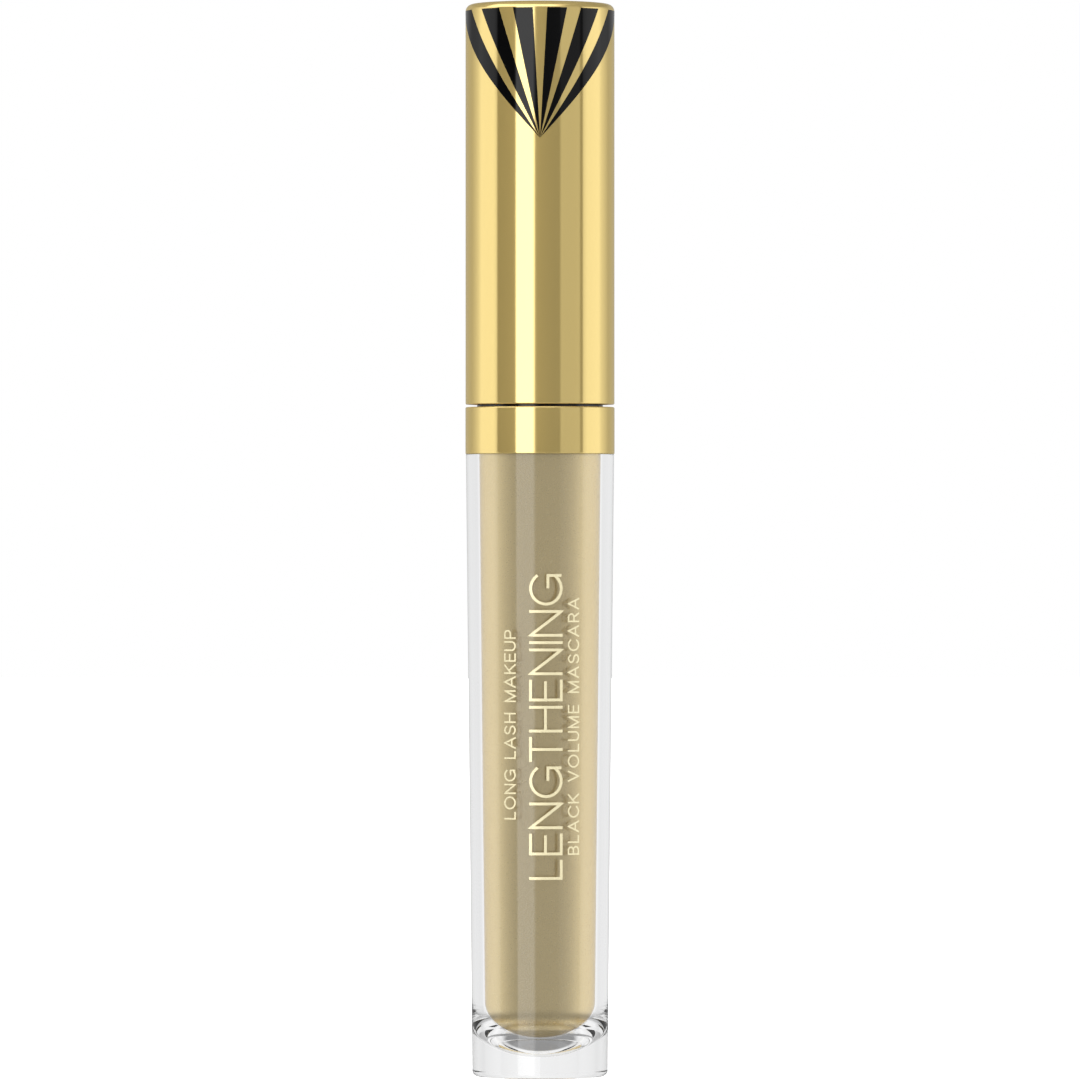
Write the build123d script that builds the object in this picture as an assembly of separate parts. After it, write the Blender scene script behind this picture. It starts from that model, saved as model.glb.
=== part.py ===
from build123d import *
from math import cos, pi, radians, sin
import os

# A mascara tube, closed and standing on its foot.  Millimetres.  The origin is the
# centre of the foot and Z runs up the axis of the tube.  A clear outer shell holds an
# inner vial of mascara, a collar covers the joint between them, and a screw cap carries
# the wand.  Almost every piece is turned about Z, so its outline is a list of corners
# (radius, height) or (radius, height, fillet), given once round the section.

# ---- Heights --------------------------------------------------------------------------
bottle_height = 72.5            # clear shell, foot to rim
collar_height = 5.5             # collar, between shell and cap
cap_gap = 0.3                   # open line between collar and cap, screwed down
cap_height = 46.7               # cap, rim to top
neck_rise = 12.0                # vial neck above the collar
base_thickness = 2.35           # clear base under the lowest point of the vial

# ---- Clear shell ----------------------------------------------------------------------
shell_setback = 0.06            # rim of the shell inside the collar's radius
shell_draft = 0.74              # the foot is this much narrower than the rim
shell_wall = 1.45
floor_flat = 0.17               # half width of the flat in the middle of the cavity's round floor
foot_fillet = 0.6
foot_ring_width = 2.2           # flat ring that the tube stands on, with its fillet
foot_recess = 0.4               # hollow under the base, inside the ring

# ---- Inner vial -----------------------------------------------------------------------
vial_gap = 0.12                 # air between vial and shell
vial_floor_gap = 0.3            # air between the vial and the clear base
vial_wall = 1.25
vial_flange_thickness = 1.0     # flange that hangs the vial on the shell's rim
vial_flange_clearance = 0.04    # flange to the inside of the collar
shoulder_height = 3.0           # inside cone from the body of the vial to its neck
snap_height = 0.1               # bead that clips the vial into the shell
snap_width = 0.6
snap_below_rim = 1.8
neck_bore_radius = 4.25
neck_wall = 1.65
neck_base_step = 0.1            # the neck is this much thicker inside the collar

# ---- Screw thread, right hand, one start ----------------------------------------------
thread_pitch = 2.0              # the cap rises this much in one turn
thread_turns = 1.5              # turns from screwed down to free
thread_depth = 0.7
thread_root_width = 1.3
thread_crest_width = 0.6
thread_clearance = 0.15         # crest of each thread to the root of the other
thread_lead = 1.85              # plain neck above the thread
thread_overlap = 0.2            # how far the ridge is rooted in its wall
cap_thread_turns = 1.25

# ---- Collar ---------------------------------------------------------------------------
collar_top_thickness = 0.8
collar_sleeve_wall = 0.88       # sleeve that grips the neck
collar_lip_radius_step = 0.25   # the lip inside the gap, in from the liner's radius
collar_lip_height = 0.9
key_count = 4                   # ribs on the neck that stop the collar from turning
key_width = 1.0
key_height = 0.35
key_clearance = 0.05
rim_bevel = 0.15                # small bevel on the visible rims

# ---- Wiper and seal -------------------------------------------------------------------
wiper_flange_thickness = 0.8
wiper_flange_setback = 0.1      # flange inside the neck's radius
wiper_wall = 0.6
wiper_depth = 8.5               # plug in the neck, below the flange
wiper_lip_length = 2.5          # cone that scrapes the wand
wiper_lip_thickness = 0.45
wiper_bead_height = 0.12
wiper_bead_below_rim = 7.4
wiper_bead_width = 0.8
wand_clearance = 0.1            # stem to wiper lip and to washer
washer_thickness = 1.0
washer_setback = 0.2            # washer inside the neck's radius

# ---- Cap shell and liner --------------------------------------------------------------
cap_wall = 0.75
cap_top_thickness = 1.2
cap_top_fillet = 0.85
cap_corner_fillet = 0.4         # inside the cap's top
liner_wall = 0.85
liner_crown = 16.0              # liner above its web
liner_web_thickness = 1.4
skirt_clearance = 0.2           # foot of the liner above the collar's lip
rib_height = 0.33               # ribs that hold the liner in the cap shell
rib_width = 1.0
rib_count = 8
stop_rib_height = 0.65          # ribs inside the cap shell that the liner butts on
stop_rib_width = 0.9
hub_height = 12.0               # socket for the wand, above the web
hub_wall = 1.85
hub_web_count = 4
hub_web_thickness = 0.8
seal_rib_width = 0.9            # ring under the web that presses on the washer
seal_rib_clearance = 0.3        # ring to the wand's flange

# ---- Wand -----------------------------------------------------------------------------
stem_radius = 2.2
stem_tip_fillet = 0.4
stem_flange_radius = 4.4
stem_flange_thickness = 0.8
head_step = 0.5                 # head of the wand thicker than its stem
head_height = 10.8
head_clearance = 0.05           # head in the socket, which turns around it
head_bead_height = 0.25
head_bead_width = 1.0
head_bead_level = 8.0           # middle of the bead above the web's underside
head_chamfer = 0.4
brush_length = 38.0             # from the end of the stem to the tip
brush_tip_clearance = 2.8       # tip to the floor of the vial
shank_radius = 1.18             # end of the core, held in the stem
shank_length = 10.9
core_radius = 1.5
core_tip_radius = 1.1
core_tip_fillet = 0.8
sleeve_wall = 0.25              # bristle sleeve over the core
brush_radius = 3.2              # over the bristles, near the stem
brush_tip_radius = 2.2          # over the bristles, at the tip
brush_neck = 2.6                # bare core between stem and bristles
brush_nose = 1.2                # bare core past the last bristles
bristle_rings = 24
bristle_root_share = 0.45       # of one ring's pitch taken by the foot of a bristle
bristle_tip_share = 0.12

# ---- Contents -------------------------------------------------------------------------
paste_below_rim = 12.5          # fill level under the shell's rim
paste_clearance = 0.4           # channel that the brush wipes in the paste

fit = 0.02                      # between pieces that grip each other

# ---- Radii, from the wand outwards ----------------------------------------------------
neck_radius = neck_bore_radius + neck_wall
neck_base_radius = neck_radius + neck_base_step
thread_radius = neck_radius + thread_depth
liner_bore = thread_radius + thread_clearance
liner_radius = liner_bore + liner_wall
cap_bore = liner_radius + rib_height + fit
cap_radius = cap_bore + cap_wall
shell_radius = cap_radius - shell_setback
foot_radius = shell_radius - shell_draft
head_radius = stem_radius + head_step
socket_radius = head_radius + head_clearance
wand_hole_radius = stem_radius + wand_clearance

# ---- Levels, from the foot up ---------------------------------------------------------
collar_top = bottle_height + collar_height
cap_rim = collar_top + cap_gap
cap_top = cap_rim + cap_height
neck_rim = collar_top + neck_rise
washer_bottom = neck_rim + wiper_flange_thickness
washer_top = washer_bottom + washer_thickness
web_bottom = washer_top + stem_flange_thickness
web_top = web_bottom + liner_web_thickness
liner_top = web_top + liner_crown
liner_foot = collar_top + collar_lip_height + skirt_clearance
cap_ceiling = cap_top - cap_top_thickness
vial_foot = base_thickness + vial_floor_gap
vial_floor = vial_foot + vial_wall
brush_tip = vial_floor + brush_tip_clearance
stem_end = brush_tip + brush_length
thread_height = thread_pitch * thread_turns
thread_start = neck_rim - thread_lead - thread_height


def cavity_radius(height):
    """Inside of the clear shell, which tapers with its outside."""
    return foot_radius + shell_draft * height / bottle_height - shell_wall


floor_round = cavity_radius(base_thickness) - floor_flat    # the floor is nearly a half ball


def vial_radius(height):
    return cavity_radius(height) - vial_gap


def vial_bore(height):
    return vial_radius(height) - vial_wall


def turned(*corners):
    """Solid turned about Z from a closed outline of (radius, height, optional fillet)."""
    points = [(corner[0], corner[1]) for corner in corners]
    fillets = [corner[2] if len(corner) > 2 else 0 for corner in corners]
    outline = FilletPolyline(*points, radius=fillets, close=True)
    return revolve(Plane.XZ * make_face(outline), Axis.Z)


def tube(inner, outer, bottom, top):
    return turned((inner, bottom), (outer, bottom), (outer, top), (inner, top))


def spokes(count, width, inner, outer, bottom, top):
    """Equal ribs set round Z, their ends on the radii inner and outer."""
    bar = Box(outer * 1.1, width, top - bottom, align=(Align.MIN, Align.CENTER, Align.MIN))
    bars = [Rot(0, 0, turn * 360 / count) * Pos(0, 0, bottom) * bar for turn in range(count)]
    ring = tube(inner, outer, bottom, top)
    return [ring & placed for placed in bars]


def thread(radius, depth, bottom, turns, first_turn=0.0):
    """Ridge that climbs anticlockwise round Z; depth is negative for a thread in a bore."""
    helix = Helix(pitch=thread_pitch, height=thread_pitch * turns, radius=radius)
    root, crest = thread_root_width / 2, thread_crest_width / 2
    buried = -thread_overlap if depth > 0 else thread_overlap
    section = make_face(
        Polyline(
            (buried, -root), (0, -root), (depth, -crest), (depth, crest), (0, root), (buried, root),
            close=True,
        )
    )
    start = Plane(origin=helix @ 0, x_dir=(1, 0, 0), z_dir=helix % 0)
    ridge = sweep(start * section, path=helix, is_frenet=True)
    return Pos(0, 0, bottom) * Rot(0, 0, 360 * first_turn) * ridge


def make_clear_shell():
    recess_radius = foot_radius - foot_ring_width
    groove_top = bottle_height - snap_below_rim + snap_width / 2 + key_clearance
    groove_bottom = bottle_height - snap_below_rim - snap_width / 2 - key_clearance
    groove_radius = cavity_radius(bottle_height) + snap_height
    return turned(
        (0, foot_recess),
        (recess_radius - foot_recess, foot_recess),
        (recess_radius, 0),
        (foot_radius, 0, foot_fillet),
        (shell_radius, bottle_height),
        (cavity_radius(bottle_height), bottle_height),
        (cavity_radius(groove_top), groove_top),
        (groove_radius, groove_top - snap_height),
        (groove_radius, groove_bottom + snap_height),
        (cavity_radius(groove_bottom), groove_bottom),
        (cavity_radius(base_thickness), base_thickness, floor_round),
        (0, base_thickness),
    )


def make_inner_vial():
    bead_top = bottle_height - snap_below_rim + snap_width / 2
    bead_bottom = bottle_height - snap_below_rim - snap_width / 2
    bead_radius = cavity_radius(bottle_height) + snap_height - fit
    flange_radius = cap_radius - cap_wall - vial_flange_clearance
    flange_top = bottle_height + vial_flange_thickness
    groove_middle = neck_rim - wiper_bead_below_rim
    groove_half = wiper_bead_width / 2 + key_clearance
    groove_radius = neck_bore_radius + wiper_bead_height + fit
    body = turned(
        (0, vial_foot),
        (vial_radius(vial_foot), vial_foot, floor_round - vial_gap),
        (vial_radius(bead_bottom), bead_bottom),
        (bead_radius, bead_bottom + snap_height),
        (bead_radius, bead_top - snap_height),
        (vial_radius(bead_top), bead_top),
        (vial_radius(bottle_height), bottle_height),
        (flange_radius, bottle_height),
        (flange_radius, flange_top),
        (neck_base_radius, flange_top),
        (neck_base_radius, collar_top),
        (neck_radius, collar_top + neck_base_step),
        (neck_radius, neck_rim),
        (neck_bore_radius, neck_rim),
        (neck_bore_radius, groove_middle + groove_half),
        (groove_radius, groove_middle + groove_half - wiper_bead_height),
        (groove_radius, groove_middle - groove_half + wiper_bead_height),
        (neck_bore_radius, groove_middle - groove_half),
        (neck_bore_radius, bottle_height + shoulder_height),
        (vial_bore(bottle_height), bottle_height),
        (vial_bore(vial_floor), vial_floor, floor_round - vial_gap - vial_wall),
        (0, vial_floor),
    )
    body += thread(neck_radius, thread_depth, thread_start, thread_turns)
    keys = spokes(
        key_count, key_width, neck_radius, neck_base_radius + key_height,
        flange_top, collar_top - collar_top_thickness - key_clearance,
    )
    return body + keys


def make_collar():
    sleeve_bore = neck_base_radius + fit
    sleeve_radius = sleeve_bore + collar_sleeve_wall
    sleeve_foot = bottle_height + vial_flange_thickness
    lip_radius = liner_radius - collar_lip_radius_step
    under_top = collar_top - collar_top_thickness
    wall_bore = cap_radius - cap_wall
    ring = turned(
        (wall_bore, bottle_height),
        (cap_radius - rim_bevel, bottle_height),
        (cap_radius, bottle_height + rim_bevel),
        (cap_radius, collar_top - rim_bevel),
        (cap_radius - rim_bevel, collar_top),
        (lip_radius, collar_top),
        (lip_radius, collar_top + collar_lip_height),
        (sleeve_bore, collar_top + collar_lip_height),
        (sleeve_bore, sleeve_foot),
        (sleeve_radius, sleeve_foot),
        (sleeve_radius, under_top),
        (wall_bore, under_top),
    )
    slots = spokes(
        key_count, key_width + 2 * key_clearance, neck_radius,
        neck_base_radius + key_height + key_clearance, sleeve_foot, under_top,
    )
    return ring - slots


def make_wiper():
    plug_radius = neck_bore_radius - fit
    bore = plug_radius - wiper_wall
    plug_foot = neck_rim - wiper_depth
    lip_foot = plug_foot - wiper_lip_length
    bead_middle = neck_rim - wiper_bead_below_rim
    bead_half = wiper_bead_width / 2
    bead_radius = neck_bore_radius + wiper_bead_height - fit
    return turned(
        (neck_radius - wiper_flange_setback, washer_bottom),
        (neck_radius - wiper_flange_setback, neck_rim),
        (plug_radius, neck_rim),
        (plug_radius, bead_middle + bead_half),
        (bead_radius, bead_middle + bead_half - wiper_bead_height),
        (bead_radius, bead_middle - bead_half + wiper_bead_height),
        (plug_radius, bead_middle - bead_half),
        (plug_radius, plug_foot),
        (wand_hole_radius + wiper_lip_thickness, lip_foot),
        (wand_hole_radius, lip_foot),
        (wand_hole_radius, lip_foot + wiper_lip_thickness),
        (bore, plug_foot + wiper_lip_thickness),
        (bore, washer_bottom - wiper_lip_thickness),
        (bore + wiper_lip_thickness, washer_bottom),
    )


def make_mascara_paste():
    channel = brush_radius + paste_clearance
    under_brush = brush_tip - paste_clearance
    fill = bottle_height - paste_below_rim
    corner = floor_round - vial_gap - vial_wall
    return turned(
        (0, vial_floor),
        (vial_bore(vial_floor) - fit, vial_floor, corner),
        (vial_bore(fill) - fit, fill),
        (channel, fill),
        (channel, under_brush),
        (0, under_brush),
    )


def make_seal_washer():
    return tube(wand_hole_radius, neck_radius - washer_setback, washer_bottom, washer_top)


def make_stem():
    head_top = web_bottom + head_height
    bead_middle = web_bottom + head_bead_level
    bead_half = head_bead_width / 2
    return turned(
        (shank_radius + fit, stem_end),
        (stem_radius, stem_end, stem_tip_fillet),
        (stem_radius, washer_top),
        (stem_flange_radius, washer_top),
        (stem_flange_radius, web_bottom),
        (head_radius, web_bottom),
        (head_radius, bead_middle - bead_half),
        (head_radius + head_bead_height, bead_middle - bead_half + head_bead_height),
        (head_radius + head_bead_height, bead_middle + bead_half - head_bead_height),
        (head_radius, bead_middle + bead_half),
        (head_radius, head_top - head_chamfer),
        (head_radius - head_chamfer, head_top),
        (0, head_top),
        (0, stem_end + shank_length),
        (shank_radius + fit, stem_end + shank_length),
    )


def brush_core_radius(height):
    """The core tapers evenly from the stem to its tip."""
    return core_tip_radius + (core_radius - core_tip_radius) * (height - brush_tip) / brush_length


def make_brush_core():
    return turned(
        (0, brush_tip),
        (core_tip_radius, brush_tip, core_tip_fillet),
        (core_radius, stem_end),
        (shank_radius, stem_end),
        (shank_radius, stem_end + shank_length - fit),
        (0, stem_end + shank_length - fit),
    )


def make_brush_bristles():
    """Moulded sleeve over the core, with a ring of bristles at each step along it."""
    bottom = brush_tip + brush_nose
    top = stem_end - brush_neck
    pitch = (top - bottom) / bristle_rings
    root, tip = pitch * bristle_root_share / 2, pitch * bristle_tip_share / 2

    def envelope(height):
        share = (height - bottom) / (top - bottom)
        return brush_tip_radius + (brush_radius - brush_tip_radius) * share

    outline = [(brush_core_radius(bottom) + sleeve_wall, bottom)]
    for ring in range(bristle_rings):
        middle = bottom + pitch * (ring + 0.5)
        sleeve = brush_core_radius(middle) + sleeve_wall
        outline += [(sleeve, middle - root), (envelope(middle), middle - tip)]
        outline += [(envelope(middle), middle + tip), (sleeve, middle + root)]
    outline += [
        (brush_core_radius(top) + sleeve_wall, top),
        (brush_core_radius(top) + fit, top),
        (brush_core_radius(bottom) + fit, bottom),
    ]
    return turned(*outline)


def make_cap_liner():
    hub_radius = socket_radius + hub_wall
    hub_top = web_bottom + liner_web_thickness + hub_height
    groove_middle = web_bottom + head_bead_level
    groove_half = head_bead_width / 2 + head_clearance
    groove_radius = socket_radius + head_bead_height
    seal_inner = stem_flange_radius + seal_rib_clearance
    seal_outer = seal_inner + seal_rib_width
    body = turned(
        (liner_radius, liner_foot),
        (liner_radius, liner_top),
        (liner_bore, liner_top),
        (liner_bore, web_top),
        (hub_radius, web_top),
        (hub_radius, hub_top),
        (socket_radius, hub_top),
        (socket_radius, groove_middle + groove_half),
        (groove_radius, groove_middle + groove_half - head_bead_height),
        (groove_radius, groove_middle - groove_half + head_bead_height),
        (socket_radius, groove_middle - groove_half),
        (socket_radius, web_bottom),
        (seal_inner, web_bottom),
        (seal_inner, washer_top),
        (seal_outer, washer_top),
        (seal_outer, web_bottom),
        (liner_bore, web_bottom),
        (liner_bore, liner_foot),
    )
    # The cap's thread lies midway between the turns of the neck's thread.
    first_turn = 0.1
    cap_thread_start = thread_start + thread_pitch * (first_turn - 0.5)
    body += thread(liner_bore, -thread_depth, cap_thread_start, cap_thread_turns, first_turn)
    middle_of_wall = liner_bore + liner_wall / 2
    ribs = spokes(
        rib_count, rib_width, middle_of_wall, cap_bore - fit, liner_foot + rib_width, liner_top,
    )
    middle_of_hub = socket_radius + hub_wall / 2
    webs = spokes(
        hub_web_count, hub_web_thickness, middle_of_hub, middle_of_wall,
        web_bottom + liner_web_thickness / 2, hub_top,
    )
    return body + ribs + webs


def make_cap_shell():
    shell = turned(
        (cap_bore, cap_rim),
        (cap_radius - rim_bevel, cap_rim),
        (cap_radius, cap_rim + rim_bevel),
        (cap_radius, cap_top, cap_top_fillet),
        (0, cap_top),
        (0, cap_ceiling),
        (cap_bore, cap_ceiling, cap_corner_fillet),
    )
    stops = spokes(
        rib_count, stop_rib_width, cap_bore - stop_rib_height, cap_bore + cap_wall / 2,
        liner_top, cap_ceiling + cap_top_thickness / 2,
    )
    return shell + stops


pieces = {
    "clear_shell": make_clear_shell(),
    "inner_vial": make_inner_vial(),
    "collar": make_collar(),
    "wiper": make_wiper(),
    "mascara_paste": make_mascara_paste(),
    "seal_washer": make_seal_washer(),
    "stem": make_stem(),
    "brush_core": make_brush_core(),
    "brush_bristles": make_brush_bristles(),
    "cap_liner": make_cap_liner(),
    "cap_shell": make_cap_shell(),
}

os.makedirs("parts", exist_ok=True)
for name, piece in pieces.items():
    piece.label = name
    export_step(piece, f"parts/{name}.step")
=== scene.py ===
"""Mascara tube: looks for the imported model, laid out as a Blender add-on and run as a script.

Every length is in metres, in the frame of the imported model: the origin is the centre of the
foot, Z runs up the axis of the tube and the printed front faces -Y.
"""

import math

import bpy
import numpy as np
from bpy.props import FloatProperty, FloatVectorProperty, IntProperty, PointerProperty, StringProperty
from bpy.types import Operator, Panel, PropertyGroup
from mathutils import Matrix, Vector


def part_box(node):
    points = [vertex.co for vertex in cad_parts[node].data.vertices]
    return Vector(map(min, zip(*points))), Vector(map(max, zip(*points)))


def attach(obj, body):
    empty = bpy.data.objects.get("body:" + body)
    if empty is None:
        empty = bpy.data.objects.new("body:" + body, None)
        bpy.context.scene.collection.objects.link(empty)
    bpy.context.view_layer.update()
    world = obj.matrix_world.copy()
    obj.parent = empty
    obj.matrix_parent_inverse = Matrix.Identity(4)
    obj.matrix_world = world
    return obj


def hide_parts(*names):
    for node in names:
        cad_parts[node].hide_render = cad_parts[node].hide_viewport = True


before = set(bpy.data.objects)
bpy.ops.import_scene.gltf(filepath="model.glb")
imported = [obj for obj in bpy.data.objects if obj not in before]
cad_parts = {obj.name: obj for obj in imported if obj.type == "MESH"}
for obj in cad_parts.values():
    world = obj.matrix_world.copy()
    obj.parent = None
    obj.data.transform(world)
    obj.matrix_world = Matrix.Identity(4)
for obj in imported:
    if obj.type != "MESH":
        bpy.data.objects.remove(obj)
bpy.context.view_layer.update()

bl_info = {
    "name": "Mascara Tube",
    "version": (1, 0, 0),
    "blender": (4, 5, 0),
    "location": "View3D > Sidebar > Mascara Tube",
    "description": "Builds the shells, vial, wand, print and finishes of a mascara tube",
    "category": "Add Mesh",
}

MM = 0.001
FULL_TURN = 2 * math.pi
CAP_LOW, CAP_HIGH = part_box("cap_shell")
COLLAR_LOW, COLLAR_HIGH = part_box("collar")
SHELL_LOW, SHELL_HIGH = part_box("clear_shell")
VIAL_LOW, VIAL_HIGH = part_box("inner_vial")
WIPER_LOW, WIPER_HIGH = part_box("wiper")
WASHER_LOW, WASHER_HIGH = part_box("seal_washer")
STEM_LOW, STEM_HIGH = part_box("stem")
CORE_LOW, CORE_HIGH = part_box("brush_core")
BRISTLES_LOW, BRISTLES_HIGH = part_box("brush_bristles")


# ---- Sizes and colours that a user would change ---------------------------------------

def length(name, description, default):
    return FloatProperty(name=name, description=description, default=default, unit="LENGTH", precision=6)


def angle(name, description, degrees):
    return FloatProperty(name=name, description=description, default=math.radians(degrees), unit="ROTATION")


def share(name, description, default):
    return FloatProperty(name=name, description=description, default=default, min=0, max=1, subtype="FACTOR")


def colour(name, description, default):
    return FloatVectorProperty(
        name=name, description=description, default=default, size=3, min=0, max=1, subtype="COLOR",
    )


class TubeSizes(PropertyGroup):
    segments: IntProperty(
        name="Segments", description="Steps round each turned surface", default=224, min=24, max=720,
    )
    rim_round: length("Rim Round", "Radius of the small round on the visible rims", 0.15 * MM)
    cap_wall: length("Cap Wall", "Wall of the cap shell", 0.75 * MM)
    cap_top: length("Cap Top", "Thickness of the cap's top", 1.2 * MM)
    cap_round: length("Cap Round", "Radius between the cap's wall and its top", 0.85 * MM)
    film_room: length("Film Room", "How far the gold lies under the printed film", 0.012 * MM)
    shell_wall: length("Shell Wall", "Wall of the clear shell", 1.45 * MM)
    shell_draft: length("Shell Draft", "How much narrower the foot is than the rim", 0.74 * MM)
    shell_floor: length("Shell Floor", "Clear base under the lowest point of the vial", 2.35 * MM)
    floor_round: length("Floor Round", "Radius of the cavity's round floor", 6.3 * MM)
    foot_round: length("Foot Round", "Radius at the foot of the shell", 0.6 * MM)
    foot_ring: length("Foot Ring", "Width of the ring that the tube stands on", 2.2 * MM)
    foot_recess: length("Foot Recess", "Hollow under the base", 0.4 * MM)
    vial_gap: length("Vial Gap", "Air between the vial and the shell", 0.12 * MM)
    vial_wall: length("Vial Wall", "Wall of the vial", 1.25 * MM)
    neck_radius: length("Neck Radius", "Neck of the vial under the thread", 5.9 * MM)
    neck_bore: length("Neck Bore", "Hole through the neck", 4.25 * MM)
    thread_pitch: length("Thread Pitch", "Rise of the screw in one turn", 2.0 * MM)
    thread_turns: FloatProperty(
        name="Thread Turns", description="Turns of the neck's thread", default=1.5, min=0.5, max=4,
    )
    wand_hole: length("Wand Hole", "Radius of the wiper's lip and of the washer's hole", 2.3 * MM)
    stem_radius: length("Stem Radius", "Rod of the wand", 2.2 * MM)
    flange: length("Flange", "Thickness of the wand's flange", 0.8 * MM)
    head_radius: length("Head Radius", "Head of the wand in its socket", 2.7 * MM)
    core_radius: length("Core Radius", "Core of the brush at the stem", 1.5 * MM)
    core_tip: length("Core Tip", "Core of the brush at its tip", 1.1 * MM)


class BrushSettings(PropertyGroup):
    rows: IntProperty(name="Rows", description="Rows of bristles round the core", default=12, min=3, max=40)
    steps: IntProperty(name="Steps", description="Bristles along each row", default=30, min=4, max=80)
    tip_reach: length("Tip Reach", "Radius over the bristles at the tip", 2.2 * MM)
    root_radius: length("Root Radius", "Half the thickness of a bristle at its root", 0.2 * MM)
    end_radius: length("End Radius", "Half the thickness of a bristle at its end", 0.055 * MM)
    seed: IntProperty(name="Seed", description="Seed of the small differences in length", default=7, min=0)


class SunburstSettings(PropertyGroup):
    rays: IntProperty(name="Rays", description="Black rays of the sunburst", default=6, min=2, max=24)
    half_angle: angle("Half Angle", "From the middle to the outer edge of the sunburst", 42.4)
    ray_share: share("Ray Share", "Part of the sunburst that is black", 0.623)
    apex_below_top: length("Apex Below Top", "Point of the sunburst under the cap's top", 15.95 * MM)
    edge_below_top: length("Edge Below Top", "Upper edge of the sunburst under the cap's top", 0.81 * MM)


class PrintSettings(PropertyGroup):
    large_words: StringProperty(name="Large Words", description="Middle line of print", default="LENGTHENING")
    left_words: StringProperty(
        name="Left Words", description="Left line of print", default="LONG LASH MAKEUP",
    )
    right_words: StringProperty(
        name="Right Words", description="Right line of print", default="BLACK VOLUME MASCARA",
    )
    large_height: length("Large Height", "Height of the large letters", 3.6 * MM)
    small_height: length("Small Height", "Height of the small letters", 1.3 * MM)
    widened: FloatProperty(name="Widened", description="How much the letters are widened", default=1.32)
    large_stroke: length("Large Stroke", "Width of a stroke of the large letters", 0.33 * MM)
    small_stroke: length("Small Stroke", "Width of a stroke of the small letters", 0.18 * MM)
    foil_thickness: length("Foil Thickness", "Thickness of the foil print", 0.01 * MM)


class FinishColours(PropertyGroup):
    mirror_gold: colour("Mirror Gold", "Metallised gold of the cap and collar", (1.0, 0.80, 0.345))
    gold_haze: colour("Gold Haze", "Tint of the soft reflection under the mirror", (1.0, 0.775, 0.29))
    satin_gold: colour("Satin Gold", "Pale satin gold of the vial", (0.93, 0.765, 0.43))
    foil: colour("Foil", "Gold foil of the print", (1.0, 0.9, 0.58))
    lacquer: colour("Lacquer", "Black print of the sunburst", (0.0018, 0.0018, 0.002))
    natural: colour("Natural", "Natural plastic of the liner", (0.80, 0.80, 0.77))
    black: colour("Black", "Black plastic of the wand", (0.012, 0.012, 0.013))
    paste: colour("Paste", "Mascara", (0.006, 0.005, 0.006))


class StageSettings(PropertyGroup):
    camera_distance: length("Camera Distance", "From the axis of the tube to the camera", 1.044)
    view_height: length("View Height", "Height that the picture covers at the tube", 126.05 * MM)
    floor_size: length("Floor Size", "Side of the floor", 6.0)


# ---- Surfaces ------------------------------------------------------------------------

def rounded(corners, steps=10):
    """Outline through corners (radius, height, optional round).

    A round of radius q at a corner of inner angle t starts and ends q / tan(t / 2) from the
    corner, and its points lie at even angles on the circle between the two.
    """
    points = []
    count = len(corners)
    for index, corner in enumerate(corners):
        here = np.array(corner[:2], float)
        radius = corner[2] if len(corner) > 2 else 0
        if not radius:
            points.append(here[None])
            continue
        back = np.array(corners[index - 1][:2], float) - here
        on = np.array(corners[(index + 1) % count][:2], float) - here
        back, on = back / np.linalg.norm(back), on / np.linalg.norm(on)
        half = math.acos(np.clip(back @ on, -1, 1)) / 2
        middle = back + on
        centre = here + middle / np.linalg.norm(middle) * radius / math.sin(half)
        first = here + back * radius / math.tan(half) - centre
        last = here + on * radius / math.tan(half) - centre
        turn = math.atan2(first[0] * last[1] - first[1] * last[0], first @ last)
        angles = math.atan2(first[1], first[0]) + np.linspace(0, turn, steps + 1)
        points.append(centre + radius * np.stack([np.cos(angles), np.sin(angles)], 1))
    return np.concatenate(points)


def divided(outline, longest):
    """The outline with its long straight runs cut into even steps no longer than longest."""
    following = np.roll(outline, -1, axis=0)
    runs = np.maximum(1, np.ceil(np.linalg.norm(following - outline, axis=1) / longest)).astype(int)
    pieces = [
        start + (end - start) * np.linspace(0, 1, run, endpoint=False)[:, None]
        for start, end, run in zip(outline, following, runs)
    ]
    return np.concatenate(pieces)


def grid_quads(rows, columns, wrap_rows=False, wrap_columns=False):
    """Corner numbers of the squares of a grid whose point (i, j) has number i * columns + j."""
    i, j = np.meshgrid(
        np.arange(rows if wrap_rows else rows - 1),
        np.arange(columns if wrap_columns else columns - 1),
        indexing="ij",
    )
    i_next, j_next = (i + 1) % rows, (j + 1) % columns
    corners = [i * columns + j, i * columns + j_next, i_next * columns + j_next, i_next * columns + j]
    return np.stack(corners, -1).reshape(-1, 4)


def turned(corners, segments, steps=10, longest=None):
    """Surface of revolution: point (r, h) of the outline at angle a is (r cos a, r sin a, h).

    The outline runs anticlockwise in the plane of r and h.  If it starts and ends on the axis,
    each end is one pole point with a fan of triangles; if not, the outline is a closed loop.
    """
    outline = rounded(corners, steps)
    solid = outline[0, 0] == 0 and outline[-1, 0] == 0
    if longest:
        outline = divided(outline, longest)
        if solid:
            outline = outline[: np.flatnonzero(outline[:, 0] == 0)[1] + 1]
    rings = outline[1:-1] if solid else outline
    angles = np.arange(segments) / segments * FULL_TURN
    x = rings[:, :1] * np.cos(angles)
    y = rings[:, :1] * np.sin(angles)
    z = np.broadcast_to(rings[:, 1:], x.shape)
    points = np.stack([x, y, z], -1).reshape(-1, 3)
    faces = grid_quads(len(rings), segments, wrap_rows=not solid, wrap_columns=True).tolist()
    if solid:
        first, last = len(points), len(points) + 1
        poles = [[0, 0, outline[0, 1]], [0, 0, outline[-1, 1]]]
        points = np.concatenate([points, poles])
        j = np.arange(segments)
        j_next = (j + 1) % segments
        top = (len(rings) - 1) * segments
        faces += np.stack([j_next, j, np.full(segments, first)], 1).tolist()
        faces += np.stack([top + j, top + j_next, np.full(segments, last)], 1).tolist()
    return points, faces


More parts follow.
